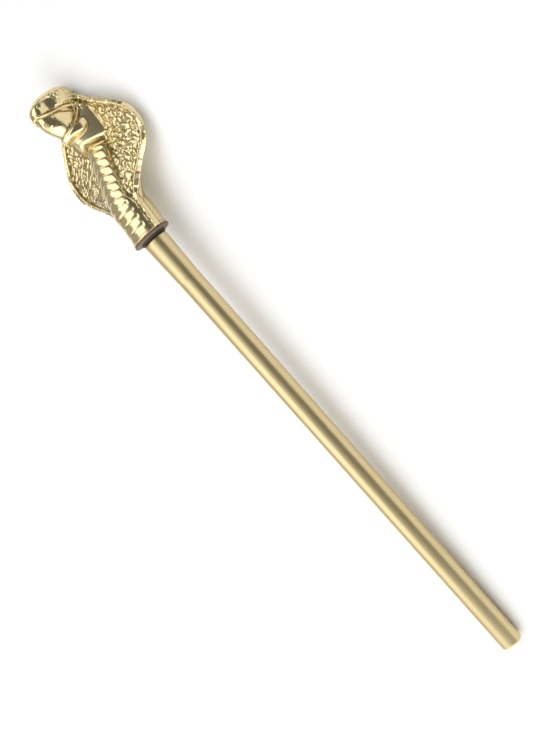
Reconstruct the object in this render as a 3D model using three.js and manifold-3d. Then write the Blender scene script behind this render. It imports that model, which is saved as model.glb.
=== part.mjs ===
// A costume sceptre: a moulded cobra head with a spread hood, on a plug, on a plain hollow shaft.
// It lies on its back, so the hood and the far end of the shaft touch the surface.
// Sizes are millimetres. Before it is laid down, the sceptre's own axes are
//   x towards the snake's left, y up the staff towards the head, z towards the snake's front,
// with y = 0 at the underside of the gold neck, on the axis of the shaft.
import * as THREE from 'three';
import { mergeVertices } from 'three/addons/utils/BufferGeometryUtils.js';
import Module from 'manifold-3d';

const wasm = await Module();
wasm.setup();

// Driving dimensions of the shaft and the plug
const FIT_GAP = 0.3;
const SHAFT_RADIUS = 10;
const SHAFT_MOUTH_RADIUS = 11.15;
const SHAFT_FLARE_LENGTH = 41;
const SHAFT_STEP = 0.12;
const SHAFT_WALL = 1.5;
const SHAFT_TOP = -5.4;
const SHAFT_LENGTH = 453.6;
const SHAFT_END_ROUNDING = 2.2;
const SHAFT_HEEL = SHAFT_TOP - SHAFT_LENGTH + SHAFT_END_ROUNDING;
const SHAFT_SIDES = 40;
const FLANGE_RADIUS = 17.6;
const FLANGE_THICKNESS = 2.2;
const BOSS_RADIUS = 12;
const BOSS_HEIGHT = 2;
const SPIGOT_LENGTH = 22;

// Driving dimensions of the neck and the belly
const NECK_RADIUS = 16.8;
const NECK_LIP_RADIUS = 17.5;
const NECK_LIP_HEIGHT = 1.6;
const LOWER_SCUTES = 6;
const LOWER_SCUTE_HEIGHT = 7.95;
const UPPER_SCUTES = 6;
const UPPER_SCUTE_HEIGHT = 7.2;
const FIRST_SCUTE = 0.4;
const SCUTE_GROOVE = 1.15;
const SCUTE_ROUNDING = 0.42;
const BELLY_RADIUS = 17;
const BELLY_SLOPE = 0.42;
const BARREL_SLOPE = 1.1;
const BARREL_CREST = 8;
const DROOP_CREST = 2;
const RINGS_PER_SCUTE = 4;
const BODY_SIDES = 24;
const HEAD_BASE = 124;
const THROAT_RINGS = 8;

// Driving dimensions of the hood
const HOOD_FOOT = 24;
const HOOD_TOP = 133;
const HOOD_RINGS = 26;
const HOOD_COLUMNS = 7;
const EDGE_ROUNDING = 1.6;
const HOOD_DISH = 0.8;
const RIM_RADIUS = 1.9;
const RIM_FOOT = 3;
const RIM_TOP = 128;
const RIM_STEPS = 32;

// Driving dimensions of the head
const SNOUT_TIP = 12.8;
const HEAD_BACK = -33.5;
const HEAD_RINGS = 16;
const HEAD_SIDES = 20;
const HINGE_Z = -19;
const LIP_RADIUS = 1.1;
const LIP_STATIONS = 8;
const LIP_STEPS = 30;
const JAW_BACK = -25;
const CHIN_TIP = 1.8;
const JAW_RINGS = 9;
const WEB_FOOT = 102;
const WEB_TOP = 131;
const WEB_MIDDLE = -13;
const WEB_BACK = 10;
const WEB_RINGS = 8;
const BROW_RADIUS = 1.6;
const EYE_HALVES = [3.3, 2.9, 3.2];
const EYE_PLACE = [12.6, 135.8, -12];

// How deep the surface cuts the back of the hood, so that it lies still
const FLAT_SPOT_DEPTH = 0.35;

/** A smooth curve through [at, value] pairs, as a function, level beyond both ends. */
function through(pairs) {
  const last = pairs.length - 1;
  const slopes = pairs.map((pair, i) => {
    const before = pairs[Math.max(i - 1, 0)];
    const after = pairs[Math.min(i + 1, last)];
    return (after[1] - before[1]) / (after[0] - before[0]);
  });
  return (at) => {
    if (at <= pairs[0][0]) return pairs[0][1];
    if (at >= pairs[last][0]) return pairs[last][1];
    const i = pairs.findIndex((pair) => pair[0] > at) - 1;
    const span = pairs[i + 1][0] - pairs[i][0];
    const t = (at - pairs[i][0]) / span;
    const bend = span * t * (1 - t) * (slopes[i] * (1 - t) - slopes[i + 1] * t);
    return pairs[i][1] * (1 + 2 * t) * (1 - t) ** 2 + pairs[i + 1][1] * t * t * (3 - 2 * t) + bend;
  };
}

// The body's profile against height: half width, belly front, level of its greatest width, back,
// the angle from the front at which its side wall begins, how far the round belly has turned into
// the throat's sloping barrel, how far its rings droop at their sides, and where a scute ends
const bodyHalf = through([[0, 16.8], [24, 16.8], [30, 15.6], [36, 14], [42, 13], [84, 12.8],
  [86, 14.5], [88, 17], [92, 20.5], [98, 22.6], [106, 23.5], [114, 20], [124, 14]]);
const bodyFront = through([[0, 16.8], [6, 16], [12, 15], [20, 13.8], [28, 13.2], [36, 11.2], [42, 8.8],
  [48, 6.3], [54, 3.5], [60, 0.8], [66, -2], [72, -4.7], [78, -7.3], [84, -10.2], [88, -12.4],
  [90.5, -13.4], [92.3, -10.2], [94.5, -7.6], [99, -6.2], [104, -5.8], [110, -6.4], [116, -8.4],
  [124, -13]]);
const bodyMiddle = through([[0, 0], [6, -1], [12, -2], [20, -3.2], [30, -3.4], [36, -3.6], [42, -4.6],
  [48, -7], [54, -9.7], [60, -12.5], [66, -15.3], [72, -18], [78, -20.7], [84, -23], [88, -25],
  [92, -26.4], [100, -27], [124, -27]]);
const bodyBack = through([[0, -16.8], [12, -18.8], [24, -20.1], [38, -20.3], [50, -21], [60, -23],
  [72, -26.6], [84, -29.4], [100, -30], [124, -30]]);
const bodyWall = through([[0, 90], [20, 88], [30, 78], [38, 66], [46, 60], [84, 60], [90, 74],
  [96, 82], [124, 84]]);
const bodyRamp = through([[0, 0], [84, 0], [87, 0], [91, 1], [95, 1], [124, 1]]);
const bodyDroop = through([[0, 0], [18, 0], [34, 0.22], [45, 0.44], [55, 0.53], [88, 0.48],
  [98, 0.25], [108, 0], [124, 0]]);
const scuteEdge = through([[0, 49], [24, 50], [34, 56], [44, 66], [84, 68], [124, 68]]);

// The hood's profile against height: half width, level and depth of its edge, level beside the
// belly, back, and the level of the raised rim
const hoodHalf = through([[24, 16.2], [30, 18.6], [36, 24.2], [42, 30.4], [48, 37.6], [54, 45.4], [60, 51.8],
  [66, 55.6], [72, 57.4], [78, 57.4], [84, 56], [90, 53], [96, 48.2], [102, 42.2], [109, 35],
  [117, 27], [126, 17], [133, 12]]);
const edgeLevel = through([[24, -4], [36, -7], [42, -9.6], [48, -13.6], [54, -18], [60, -20.6],
  [66, -22], [84, -22.6], [108, -24], [117, -25.5], [126, -28], [133, -30]]);
const edgeDepth = through([[24, 7], [42, 7.4], [54, 6.4], [66, 5], [78, 4.4], [133, 4.2]]);
const hoodFront = through([[24, 3], [30, 5.5], [36, 6], [42, 3.7], [48, 0.3], [54, -3.5], [60, -7.1],
  [66, -10.5], [72, -14.7], [78, -17.9], [84, -20.9], [90, -22.6], [100, -23.2], [112, -24.6],
  [126, -28], [133, -30]]);
const hoodBack = through([[24, -20.2], [36, -20.7], [48, -22.2], [60, -25.4], [72, -29], [84, -31.6],
  [96, -32.8], [108, -33.2], [120, -33.2], [133, -32]]);
const rimAcross = through([[3, 15.4], [26, 15.4], [31, 17], [36, 21.4], [42, 27.6], [48, 34.8],
  [54, 42.8], [60, 49.4], [66, 53.2], [72, 55], [78, 55], [84, 53.5], [90, 50.4], [96, 45.5],
  [102, 39.5], [109, 32.2], [117, 24.2], [128, 13]]);
const rimLevel = through([[3, 3], [12, 1.6], [24, 0.2], [31, -1], [36, -3.6], [42, -7], [48, -11.4],
  [54, -16], [60, -18.8], [66, -20.4], [84, -21.2], [108, -22.8], [117, -24.4], [128, -27.6]]);

// The upper head's profile against z: half width, crown and the line of the upper lip
const headHalf = through([[-33.5, 3], [-32.4, 8.4], [-29.6, 12.6], [-24, 15], [-14, 15.4], [-7, 13.6],
  [0, 11], [5, 8.9], [9, 6.8], [11.6, 4.3], [12.8, 1.8]]);
const crown = through([[-33.5, 131], [-32.4, 138], [-30, 142.2], [-26, 145], [-20, 145.8], [-14, 145.4],
  [-4, 144], [2, 142.6], [7, 140], [10.4, 136.8], [12.2, 133.8], [12.8, 132.8]]);
const upperLip = through([[-33.5, 122], [-28, 118.5], [-22, 119.3], [-18, 121.2], [-14, 122.2],
  [-8, 123.7], [-2, 124.8], [4, 125.7], [8, 126.6], [10.7, 127.9], [12.2, 129.4], [12.8, 130]]);

// The lower jaw's profile against z: half width, the line of the lower lip and the chin's underside
const jawHalf = through([[-25, 13], [-19, 15.8], [-12, 14.4], [-7, 12], [-3, 9], [-0.5, 6], [1, 3.4],
  [1.8, 1]]);
const lowerLip = through([[-25, 120], [-19, 117.6], [-14, 113.2], [-9.2, 109.8], [-5.6, 107.5],
  [-1.8, 105.4], [0.3, 104.6], [1.8, 104.8]]);
const jawUnderside = through([[-25, 98], [-19, 96.4], [-14, 96.2], [-8, 98], [-4, 100], [0, 102],
  [1.8, 103.8]]);

// The web's profile against height: how far it comes forward, and its half width
const webFront = through([[102, -1], [109, 3.8], [114.3, 8], [120.4, 11.4], [128, 11.4], [131, 10.6]]);
const webHalf = through([[102, 7.5], [108, 9.8], [116, 11.6], [124, 11], [131, 9]]);

/** Closes a stack of rings, each with the same number of points, into one geometry. */
function loft(rings) {
  const sides = rings[0].length;
  const positions = [];
  const indices = [];
  for (const ring of rings) {
    for (const point of ring) positions.push(point.x, point.y, point.z);
  }
  for (let r = 0; r + 1 < rings.length; r++) {
    for (let s = 0; s < sides; s++) {
      const a = r * sides + s;
      const b = r * sides + (s + 1) % sides;
      indices.push(a, b, a + sides, b, b + sides, a + sides);
    }
  }
  for (const [ring, start] of [[rings[0], 0], [rings.at(-1), (rings.length - 1) * sides]]) {
    const centre = ring.reduce((sum, point) => sum.add(point), new THREE.Vector3());
    centre.divideScalar(sides);
    const hub = positions.length / 3;
    positions.push(centre.x, centre.y, centre.z);
    for (let s = 0; s < sides; s++) {
      const rim = [start + s, start + (s + 1) % sides];
      indices.push(hub, ...(start === 0 ? rim.reverse() : rim));
    }
  }
  const geometry = new THREE.BufferGeometry();
  geometry.setAttribute('position', new THREE.Float32BufferAttribute(positions, 3));
  geometry.setIndex(indices);
  return geometry;
}

/** Six times the volume inside a closed geometry: negative where its faces point in. */
function signedVolume(vertices, triangles) {
  const corner = (i) => new THREE.Vector3().fromArray(vertices, 3 * triangles[i]);
  let sum = 0;
  for (let i = 0; i < triangles.length; i += 3) {
    sum += corner(i).dot(corner(i + 1).cross(corner(i + 2)));
  }
  return sum;
}

/** A closed geometry as a solid that can be joined and cut. */
function solid(geometry) {
  const bare = geometry.clone();
  bare.deleteAttribute('normal');
  bare.deleteAttribute('uv');
  const merged = mergeVertices(bare, 1e-4);
  const vertProperties = new Float32Array(merged.attributes.position.array);
  const triVerts = new Uint32Array(merged.index.array);
  if (signedVolume(vertProperties, triVerts) < 0) triVerts.reverse();
  return new wasm.Manifold(new wasm.Mesh({ numProp: 3, vertProperties, triVerts }));
}

/** A solid turned back into a geometry. */
function geometryOf(body) {
  const mesh = body.getMesh();
  const geometry = new THREE.BufferGeometry();
  geometry.setAttribute('position', new THREE.BufferAttribute(mesh.vertProperties, 3));
  geometry.setIndex(new THREE.BufferAttribute(mesh.triVerts, 1));
  geometry.computeVertexNormals();
  return geometry;
}

/** Evenly spaced numbers from start to end, both included. */
function steps(start, end, count) {
  return Array.from({ length: count + 1 }, (_, i) => start + (end - start) * i / count);
}

/** A round bar along a smooth curve through points. */
function bar(points, radius, sides, count) {
  const section = new THREE.Shape(
    steps(0, 2 * Math.PI, sides).slice(0, sides)
      .map((angle) => new THREE.Vector2(radius * Math.cos(angle), radius * Math.sin(angle))),
  );
  const path = new THREE.CatmullRomCurve3(points);
  return new THREE.ExtrudeGeometry(section, { steps: count, extrudePath: path, curveSegments: 1 });
}

/** An ellipsoid with half sizes [x, y, z] about a place. */
function ball(place, halves, across = 12, up = 8) {
  return new THREE.SphereGeometry(1, across, up).scale(...halves).translate(...place);
}

const mirrored = (geometry) => geometry.clone().scale(-1, 1, 1);

/** Heights where one belly scute ends and the next begins. */
function scuteEdges() {
  const edges = [FIRST_SCUTE];
  for (let i = 0; i < LOWER_SCUTES; i++) edges.push(edges.at(-1) + LOWER_SCUTE_HEIGHT);
  for (let i = 0; i < UPPER_SCUTES; i++) edges.push(edges.at(-1) + UPPER_SCUTE_HEIGHT);
  return edges;
}

/** How deep the belly is cut at a height: full depth in a groove, nothing on a scute's middle. */
function scuteDepth(height, edges) {
  const above = edges.findIndex((edge) => edge > height);
  if (above <= 0) return 0;
  const share = (height - edges[above - 1]) / (edges[above] - edges[above - 1]);
  return SCUTE_GROOVE * (1 - (4 * share * (1 - share)) ** SCUTE_ROUNDING);
}

/** How far the belly has fallen back at a distance from its middle line. */
function bellyFall(ring, across) {
  const arc = BELLY_RADIUS - Math.sqrt(Math.max(BELLY_RADIUS ** 2 - across ** 2, 0));
  const slope = BARREL_SLOPE * (Math.hypot(across, BARREL_CREST) - BARREL_CREST);
  return THREE.MathUtils.lerp(arc, slope, bodyRamp(ring));
}

/** One point of a body ring: in front the belly and then its side wall, behind a round back. */
function bodyPoint(ring, angle, edges) {
  const facing = Math.cos(angle);
  const inFront = facing > 1e-9;
  const side = Math.sin(angle);
  const wall = THREE.MathUtils.degToRad(bodyWall(ring));
  const turned = Math.min(angle, 2 * Math.PI - angle);
  const reach = inFront ? Math.min(Math.abs(side) / Math.sin(wall), 1) : Math.abs(side);
  const across = bodyHalf(ring) * reach;
  const height = ring - bodyDroop(ring) * (Math.hypot(across, DROOP_CREST) - DROOP_CREST);
  const middle = bodyMiddle(height);
  const cut = turned < THREE.MathUtils.degToRad(scuteEdge(ring)) ? scuteDepth(ring, edges) : 0;
  const belly = bodyFront(ring) - bellyFall(ring, across)
    + BELLY_SLOPE * (1 - bodyRamp(ring)) * (ring - height);
  const downWall = THREE.MathUtils.clamp((turned - wall) / (Math.PI / 2 - wall + 1e-3), 0, 1);
  const front = THREE.MathUtils.lerp(belly, Math.min(middle, belly), downWall);
  const behind = middle + (middle - bodyBack(height)) * facing;
  return new THREE.Vector3(
    Math.sign(side) * (across - cut * reach),
    THREE.MathUtils.clamp(height, 0, HEAD_BASE),
    (inFront ? front : behind) - cut * Math.sqrt(Math.max(facing, 0)));
}

/** One level of the neck, belly and throat, as a ring round the body that droops at its sides. */
function bodyRing(ring, edges) {
  const angles = steps(0, 2 * Math.PI, BODY_SIDES).slice(0, BODY_SIDES);
  return angles.map((angle) => bodyPoint(ring, angle, edges));
}

/** The neck, the belly with its scutes, and the throat. */
function body() {
  const edges = scuteEdges();
  const heights = [0];
  for (let i = 0; i + 1 < edges.length; i++) {
    heights.push(...steps(edges[i], edges[i + 1], RINGS_PER_SCUTE).slice(0, RINGS_PER_SCUTE));
  }
  heights.push(...steps(edges.at(-1), HEAD_BASE, THROAT_RINGS));
  return solid(loft(heights.map((height) => bodyRing(height, edges))));
}

/** The thin lip at the foot of the neck. */
function neckLip() {
  const profile = [[0, 0], [NECK_LIP_RADIUS, 0], [NECK_LIP_RADIUS, NECK_LIP_HEIGHT / 2],
    [NECK_RADIUS - 0.4, NECK_LIP_HEIGHT], [0, NECK_LIP_HEIGHT]];
  return solid(new THREE.LatheGeometry(profile.map((p) => new THREE.Vector2(...p)), 40));
}

/** One level of the hood: a thick middle that thins towards the edge on both sides. */
function hoodRing(height) {
  const half = hoodHalf(height);
  const fore = edgeLevel(height) + edgeDepth(height) * 0.4;
  const aft = edgeLevel(height) - edgeDepth(height) * 0.4;
  const front = hoodFront(height);
  const back = hoodBack(height);
  const across = steps(-1, 1, 2 * HOOD_COLUMNS).map((share) => Math.sin(share * Math.PI / 2));
  const near = across.map((u) => new THREE.Vector3(
    (half - EDGE_ROUNDING) * u, height, fore + (front - fore) * (1 - Math.abs(u)) ** HOOD_DISH));
  const far = across.map((u) => new THREE.Vector3(
    (half - EDGE_ROUNDING) * u, height, aft + (back - aft) * (1 - u * u) ** 0.85));
  const edge = (side) => new THREE.Vector3(side * half, height, edgeLevel(height));
  return [...near, edge(1), ...far.reverse(), edge(-1)];
}

/** The spread hood with its rounded rim, which runs down the neck on both sides. */
function hood() {
  const sheet = solid(loft(steps(HOOD_FOOT, HOOD_TOP, HOOD_RINGS).map(hoodRing)));
  const path = steps(RIM_FOOT, RIM_TOP, 20)
    .map((height) => new THREE.Vector3(rimAcross(height), height, rimLevel(height)));
  const rim = bar(path, RIM_RADIUS, 6, RIM_STEPS);
  return [sheet, solid(rim), solid(mirrored(rim))];
}

/** One slice of the head across z, between a crown and an underside. */
function headRing(z, half, top, bottom, flatness) {
  const middle = (top + bottom) / 2;
  const tall = (top - bottom) / 2;
  return steps(0, 2 * Math.PI, HEAD_SIDES).slice(0, HEAD_SIDES).map((angle) => {
    const side = Math.sin(angle);
    const rise = Math.cos(angle);
    return new THREE.Vector3(half * Math.sign(side) * Math.abs(side) ** flatness,
      middle + tall * Math.sign(rise) * Math.abs(rise) ** flatness, z);
  });
}

/** Places along a length, closer together towards both ends. */
function easedSteps(start, end, count) {
  return steps(0, Math.PI, count).map((angle) => start + (end - start) * (1 - Math.cos(angle)) / 2);
}

/** The upper head, from the nape to the snout. */
function upperHead() {
  const slices = easedSteps(HEAD_BACK, SNOUT_TIP, HEAD_RINGS);
  return solid(loft(slices.map((z) => headRing(z, headHalf(z), crown(z), upperLip(z), 0.78))));
}

/** The lower jaw, dropped open. */
function lowerJaw() {
  const slices = easedSteps(JAW_BACK, CHIN_TIP, JAW_RINGS);
  return solid(loft(slices.map((z) => headRing(z, jawHalf(z), lowerLip(z), jawUnderside(z), 0.8))));
}

/** The smooth web that fills the open mouth, a little inside the lips. */
function mouthWeb() {
  return solid(loft(steps(WEB_FOOT, WEB_TOP, WEB_RINGS).map((height) => {
    const front = webFront(height) - WEB_MIDDLE;
    return steps(0, 2 * Math.PI, HEAD_SIDES).slice(0, HEAD_SIDES).map((angle) => {
      const facing = Math.cos(angle);
      const reach = facing > 0 ? front * facing : WEB_BACK * facing;
      return new THREE.Vector3(webHalf(height) * Math.sin(angle), height, WEB_MIDDLE + reach);
    });
  })));
}

/** A ridge along the edge of a jaw, from hinge to hinge round the front. */
function lip(half, line, tip, radius) {
  const side = steps(0, 1, LIP_STATIONS).slice(0, LIP_STATIONS)
    .map((share) => HINGE_Z + (tip - HINGE_Z) * Math.sin(share * Math.PI / 2))
    .map((z) => new THREE.Vector3(half(z) - radius * 0.4, line(z), z));
  const front = new THREE.Vector3(0, line(tip), tip);
  const other = side.map((point) => new THREE.Vector3(-point.x, point.y, point.z)).reverse();
  return solid(bar([...side, front, ...other], radius, 6, LIP_STEPS));
}

/** Eyes under their brows. */
function eyes() {
  const [x, y, z] = EYE_PLACE;
  const brow = bar([
    new THREE.Vector3(x, y + 1, z + 8.2),
    new THREE.Vector3(x + 1.3, y + 3.1, z + 4.5),
    new THREE.Vector3(x + 1.9, y + 4.2, z),
    new THREE.Vector3(x + 1, y + 0.6, z - 6.6),
  ], BROW_RADIUS, 6, 8);
  const eye = ball(EYE_PLACE, EYE_HALVES);
  return [eye, brow].flatMap((geometry) => [solid(geometry), solid(mirrored(geometry))]);
}

/** How much the surface falls for each millimetre from the shaft's far end towards the hood. */
function lyingSlope() {
  const falls = steps(HOOD_FOOT, HOOD_TOP, HOOD_TOP - HOOD_FOOT).map(
    (height) => (-SHAFT_RADIUS - hoodBack(height) - FLAT_SPOT_DEPTH) / (height - SHAFT_HEEL));
  return Math.max(...falls);
}

/** Everything under the surface that the sceptre lies on, which cuts a flat spot on the hood. */
function underSurface(angle) {
  const block = new THREE.BoxGeometry(300, 1500, 60).translate(0, 0, -30);
  return solid(block.rotateX(-angle).translate(0, SHAFT_HEEL, -SHAFT_RADIUS));
}

/** The cobra head, one moulded piece from the neck's foot to the crown. */
function cobraHead(angle) {
  const pieces = [
    body(), neckLip(), ...hood(), upperHead(), lowerJaw(), mouthWeb(), ...eyes(),
    lip(headHalf, upperLip, SNOUT_TIP - 0.6, LIP_RADIUS),
    lip(jawHalf, lowerLip, CHIN_TIP - 0.4, LIP_RADIUS * 1.1),
  ];
  return pieces.reduce((whole, piece) => whole.add(piece)).subtract(underSurface(angle));
}

/** The plug: a round flange under the neck, a boss, and a spigot that goes into the shaft. */
function plug() {
  const spigot = SHAFT_RADIUS - SHAFT_WALL - FIT_GAP;
  const top = -FIT_GAP;
  const under = top - FLANGE_THICKNESS;
  const profile = [
    [0, top], [FLANGE_RADIUS - 0.6, top], [FLANGE_RADIUS, top - 0.6],
    [FLANGE_RADIUS, under + 0.6], [FLANGE_RADIUS - 0.6, under],
    [BOSS_RADIUS, under], [BOSS_RADIUS, under - BOSS_HEIGHT],
    [spigot, under - BOSS_HEIGHT], [spigot, under - SPIGOT_LENGTH + 1],
    [spigot - 1, under - SPIGOT_LENGTH], [0, under - SPIGOT_LENGTH],
  ];
  return new THREE.LatheGeometry(profile.map((p) => new THREE.Vector2(...p)), SHAFT_SIDES);
}

/** The hollow shaft: flared at its open top, closed and rounded at its far end. */
function shaft() {
  const end = SHAFT_TOP - SHAFT_LENGTH;
  const flareEnd = SHAFT_TOP - SHAFT_FLARE_LENGTH;
  const outer = [
    [SHAFT_MOUTH_RADIUS, SHAFT_TOP],
    [SHAFT_RADIUS + SHAFT_STEP, flareEnd],
    [SHAFT_RADIUS, flareEnd - 1],
  ];
  const rounding = steps(0, Math.PI / 2, 5).map((angle) => [
    SHAFT_RADIUS - SHAFT_END_ROUNDING * (1 - Math.cos(angle)),
    end + SHAFT_END_ROUNDING * (1 - Math.sin(angle)),
  ]);
  const bore = SHAFT_RADIUS - SHAFT_WALL;
  const inner = [[0, end], [0, end + SHAFT_WALL], [bore, end + SHAFT_WALL], [bore, SHAFT_TOP]];
  const profile = [...outer, ...rounding, ...inner, outer[0]];
  return new THREE.LatheGeometry(profile.map((p) => new THREE.Vector2(...p)), SHAFT_SIDES);
}

/** A named mesh with its own material. */
function named(name, geometry, colour, roughness, metalness) {
  const material = new THREE.MeshStandardMaterial({ color: colour, roughness, metalness });
  const mesh = new THREE.Mesh(geometry, material);
  mesh.name = name;
  return mesh;
}

const slope = Math.atan(lyingSlope());
const lying = new THREE.Group();
lying.rotation.x = slope;
lying.add(
  named('cobra_head', geometryOf(cobraHead(slope)), 0xc9b36a, 0.22, 1),
  named('base_plug', geometryOf(solid(plug())), 0x5a4434, 0.6, 0),
  named('shaft_tube', geometryOf(solid(shaft())), 0xcdb884, 0.38, 0.9),
);

// The origin is under the middle of the sceptre, on the surface that it lies on
const sceptre = new THREE.Group();
sceptre.add(lying);
const reach = new THREE.Box3().setFromObject(sceptre, true);
const middle = reach.getCenter(new THREE.Vector3());
lying.position.set(-middle.x, -middle.y, -reach.min.z);

export default sceptre;
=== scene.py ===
# %% [markdown]
# # A cobra sceptre, dressed on its CAD frame
# The object is a fancy-dress sceptre: a cobra head moulded in plastic and coated with a bright gold
# film, a dark plug in the foot of its neck, and a plain satin gold tube for a shaft. It lies on its
# back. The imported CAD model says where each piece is. This lesson models the finish of each piece,
# one step at a time, in millimetres first, and then lays it in its place in metres.

# %% Load the frame
import math
import bpy
import numpy as np
from mathutils import Matrix, Vector


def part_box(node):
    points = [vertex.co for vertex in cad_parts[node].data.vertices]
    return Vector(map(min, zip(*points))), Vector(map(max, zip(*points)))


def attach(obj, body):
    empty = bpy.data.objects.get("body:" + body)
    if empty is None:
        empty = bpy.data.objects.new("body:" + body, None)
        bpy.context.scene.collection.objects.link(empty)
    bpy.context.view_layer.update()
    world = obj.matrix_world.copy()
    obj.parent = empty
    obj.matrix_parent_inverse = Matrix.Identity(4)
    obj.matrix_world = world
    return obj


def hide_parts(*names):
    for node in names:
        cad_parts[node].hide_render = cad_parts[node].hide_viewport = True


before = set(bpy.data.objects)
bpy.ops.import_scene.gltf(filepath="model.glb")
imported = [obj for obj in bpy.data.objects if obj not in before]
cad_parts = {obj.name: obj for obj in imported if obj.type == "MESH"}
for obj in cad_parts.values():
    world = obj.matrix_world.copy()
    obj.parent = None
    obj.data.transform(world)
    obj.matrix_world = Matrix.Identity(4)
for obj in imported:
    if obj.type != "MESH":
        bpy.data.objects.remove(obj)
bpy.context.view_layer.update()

# %% [markdown]
# ## Where the sceptre lies
# The sceptre is easiest to model upright: x to the snake's left, y up the staff, z to the snake's
# front, with y = 0 at the foot of the gold neck. It lies tilted, because the hood is deeper than the
# shaft. Typing the tilt in would be quick, but it would go stale. Here it is read from the frame:
# the shaft's CAD solid is turned back until its middle line is level.

# %% Measure how the sceptre lies
MM = 0.001
SHAFT_TOP = -5.4
SHAFT_LENGTH = 453.6
END_SLICE = 1.5


def read_points(mesh):
    """All points of a mesh, one row each."""
    co = np.empty(3 * len(mesh.vertices), np.float32)
    mesh.vertices.foreach_get("co", co)
    return co.reshape(-1, 3).astype(float)


def middle(points):
    """The middle of the box round some points."""
    return (points.min(0) + points.max(0)) / 2


shaft_points = read_points(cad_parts["shaft_tube"].data)
up_shaft = shaft_points[:, 1]
near_end = shaft_points[up_shaft > up_shaft.max() - END_SLICE * MM]
far_end = shaft_points[up_shaft < up_shaft.min() + END_SLICE * MM]
along = middle(near_end) - middle(far_end)
tilt = math.atan2(along[2], along[1])
level = np.array(Matrix.Rotation(-tilt, 3, "X"))
levelled = shaft_points @ level.T
axis_place = middle(levelled)
foot = np.array([0, levelled[:, 1].max() - SHAFT_TOP * MM, axis_place[2]])
lying = Matrix.Rotation(tilt, 4, "X") @ Matrix.Translation(Vector(foot)) @ Matrix.Scale(MM, 4)
print("tilt", round(math.degrees(tilt), 2), "degrees; neck's foot at", lying.to_translation())

# %% [markdown]
# ## The camera first
# A camera is worked out from the picture: how fast the shaft narrows gives its distance and how far
# the shaft runs away from us, and the plug's underside gives the angle from which we see the neck.
# The camera is placed in the sceptre's own upright axes and then laid down with it, so that the
# picture stays right if the tilt changes.

# %% Camera
LENS, SENSOR = 44.1, 36
NEAREST_SEEN = 0.01
LOOK_DOWN_SHAFT = -150
LOOK_ASIDE = 3.9
DISTANCE = 750
TOWARDS_CAMERA = Vector((0.7063, 0.0488, 0.7063)).normalized()
STAFF_LEAN = math.radians(41.55)


def add_object(name, data):
    """A new object in the scene, with this mesh or camera."""
    made = bpy.data.objects.new(name, data)
    bpy.context.scene.collection.objects.link(made)
    return made


aside = Vector((1, 0, -1)).normalized()
look_at = Vector((0, LOOK_DOWN_SHAFT, 0)) + LOOK_ASIDE * aside
up_staff = (Vector((0, 1, 0)) - TOWARDS_CAMERA * TOWARDS_CAMERA.y).normalized()
across_staff = up_staff.cross(TOWARDS_CAMERA)
camera_up = math.cos(STAFF_LEAN) * up_staff + math.sin(STAFF_LEAN) * across_staff
camera_right = camera_up.cross(TOWARDS_CAMERA)
stand = look_at + DISTANCE * TOWARDS_CAMERA
pose = Matrix((camera_right, camera_up, TOWARDS_CAMERA)).transposed().to_4x4()
pose.translation = stand
turned = lying @ pose
camera = add_object("camera", bpy.data.cameras.new("camera"))
camera.data.lens = LENS
camera.data.sensor_width = SENSOR
camera.location = turned.to_translation()
camera.rotation_euler = turned.to_quaternion().to_euler()
camera.data.clip_start = NEAREST_SEEN
bpy.context.scene.camera = camera
print("camera at", [round(value, 3) for value in camera.location])

# %% [markdown]
# ## Profiles
# A carver of such a head works from a few profiles: how wide and how deep it is at each height. A
# profile here is a short list of places and sizes with a smooth curve through them. The same
# profiles shape the CAD solid, so the finished piece keeps its form.

# %% Profiles through named sizes


def through(*pairs):
    """A smooth curve through (at, value) pairs, as a function, level beyond both ends."""
    at, value = np.array(pairs, float).T
    slope = np.gradient(value)
    slope[1:-1] = (value[2:] - value[:-2]) / (at[2:] - at[:-2])
    slope[0] = (value[1] - value[0]) / (at[1] - at[0])
    slope[-1] = (value[-1] - value[-2]) / (at[-1] - at[-2])

    def curve(place):
        place = np.clip(place, at[0], at[-1])
        i = np.clip(np.searchsorted(at, place, side="right") - 1, 0, len(at) - 2)
        span = at[i + 1] - at[i]
        t = (place - at[i]) / span
        bend = span * t * (1 - t) * (slope[i] * (1 - t) - slope[i + 1] * t)
        return value[i] * (1 + 2 * t) * (1 - t) ** 2 + value[i + 1] * t * t * (3 - 2 * t) + bend

    return curve


body_half = through((0, 16.8), (24, 16.8), (30, 15.6), (36, 14), (42, 13), (84, 12.8), (86, 14.5),
                    (88, 17), (92, 20.5), (98, 22.6), (106, 23.5), (114, 20), (124, 14))
body_front = through((0, 16.8), (6, 16), (12, 15), (20, 13.8), (28, 13.2), (36, 11.2), (42, 8.8),
                     (48, 6.3), (54, 3.5), (60, 0.8), (66, -2), (72, -4.7), (78, -7.3), (84, -10.2),
                     (88, -12.4), (90.5, -13.4), (92.3, -10.2), (94.5, -7.6), (99, -6.2), (104, -5.8),
                     (110, -6.4), (116, -8.4), (124, -13))
body_middle = through((0, 0), (6, -1), (12, -2), (20, -3.2), (30, -3.4), (36, -3.6), (42, -4.6),
                      (48, -7), (54, -9.7), (60, -12.5), (66, -15.3), (72, -18), (78, -20.7),
                      (84, -23), (88, -25), (92, -26.4), (100, -27), (124, -27))
body_back = through((0, -16.8), (12, -18.8), (24, -20.1), (38, -20.3), (50, -21), (60, -23),
                    (72, -26.6), (84, -29.4), (100, -30), (124, -30))
body_wall = through((0, 90), (20, 88), (30, 78), (38, 66), (46, 60), (84, 60), (90, 74), (96, 82),
                    (124, 84))
body_ramp = through((0, 0), (84, 0), (87, 0), (91, 1), (95, 1), (124, 1))
body_droop = through((0, 0), (18, 0), (34, 0.22), (45, 0.44), (55, 0.53), (88, 0.48), (98, 0.25),
                     (108, 0), (124, 0))
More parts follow.
